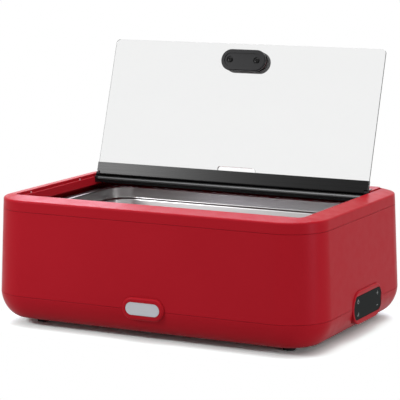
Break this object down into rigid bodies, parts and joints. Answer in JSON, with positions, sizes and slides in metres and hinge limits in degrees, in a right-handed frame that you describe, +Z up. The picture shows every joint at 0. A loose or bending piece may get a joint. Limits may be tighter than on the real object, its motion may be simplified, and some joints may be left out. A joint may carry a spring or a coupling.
{
  "type": "electric chafing dish",
  "caption": "Electric food warmer: rounded moulded housing, drop-in steel food pan, hinged glass lid with grip, side touch panel.",
  "frame": {"origin": "on the table, under the middle of the housing's outline", "axes": "+X to the control panel's side, +Y to the hinge's side, +Z up"},
  "size_m": [0.6192, 0.4282, 0.467],
  "materials": {
    "housing_red": "satin moulded red",
    "badge_silver": "satin silver, blank",
    "panel_glass": "glossy black touch panel with pale plain signs",
    "circuit_board": "green board",
    "black_plastic": "fine satin black",
    "black_metal": "satin black coated extrusion",
    "clear_glass": "clear tempered glass",
    "pan_steel": "bright drawn steel",
    "well_steel": "drawn steel sheet",
    "fastener_steel": "zinc plated",
    "heater_aluminium": "plain",
    "element_steel": "annealed",
    "insulation": "fibre mat",
    "silicone": "soft clear-pink",
    "foot_rubber": "matt black"
  },
  "bodies": {
    "housing": {"top_frame": "housing_red", "body_shell": "housing_red", "base_shell": "housing_red", "badge_surround": "housing_red", "panel_bezel": "housing_red", "badge_plate": "badge_silver", "touch_panel": "panel_glass", "control_board": "circuit_board", "power_board": "circuit_board", "power_inlet": "black_plastic", "thermal_cutout": "black_plastic", "heating_well": "well_steel", "heat_shield": "well_steel", "inlet_screw_1": "fastener_steel", "inlet_screw_2": "fastener_steel", "foot_screw_1": "fastener_steel", "foot_screw_2": "fastener_steel", "foot_screw_3": "fastener_steel", "foot_screw_4": "fastener_steel", "base_screw_1": "fastener_steel", "base_screw_2": "fastener_steel", "base_screw_3": "fastener_steel", "base_screw_4": "fastener_steel", "heating_plate": "heater_aluminium", "heating_element": "element_steel", "temperature_sensor": "element_steel", "insulation_pad": "insulation", "ledge_bumper_1": "silicone", "ledge_bumper_2": "silicone", "ledge_bumper_3": "silicone", "ledge_bumper_4": "silicone", "ledge_bumper_5": "silicone", "ledge_bumper_6": "silicone", "foot_front_left": "foot_rubber", "foot_front_right": "foot_rubber", "foot_rear_left": "foot_rubber", "foot_rear_right": "foot_rubber"},
    "food_pan": {"food_pan": "pan_steel"},
    "lid_carrier": {"hinge_bar": "black_metal", "hinge_cap_left": "black_plastic", "hinge_cap_right": "black_plastic", "hinge_rod": "fastener_steel", "rear_pane": "clear_glass"},
    "lid": {"lid_profile": "black_metal", "lid_glass": "clear_glass", "handle_grip": "black_plastic", "handle_plate": "black_plastic", "handle_washer_outer": "silicone", "handle_washer_inner": "silicone", "handle_screw_1": "fastener_steel", "handle_screw_2": "fastener_steel"}
  },
  "joints": [
    {"name": "lid_unit_lift", "type": "slide", "parent": "housing", "child": "lid_carrier", "axis": [0, 0, 1], "range_m": [0, 0.08]},
    {"name": "lid_hinge", "type": "hinge", "parent": "lid_carrier", "child": "lid", "pos_m": [0, 0.1082, 0.2253], "axis": [1, 0, 0], "range_deg": [0, 107.9]},
    {"name": "food_pan_lift", "type": "slide", "parent": "housing", "child": "food_pan", "axis": [0, 0, 1], "range_m": [0, 0.012]}
  ]
}
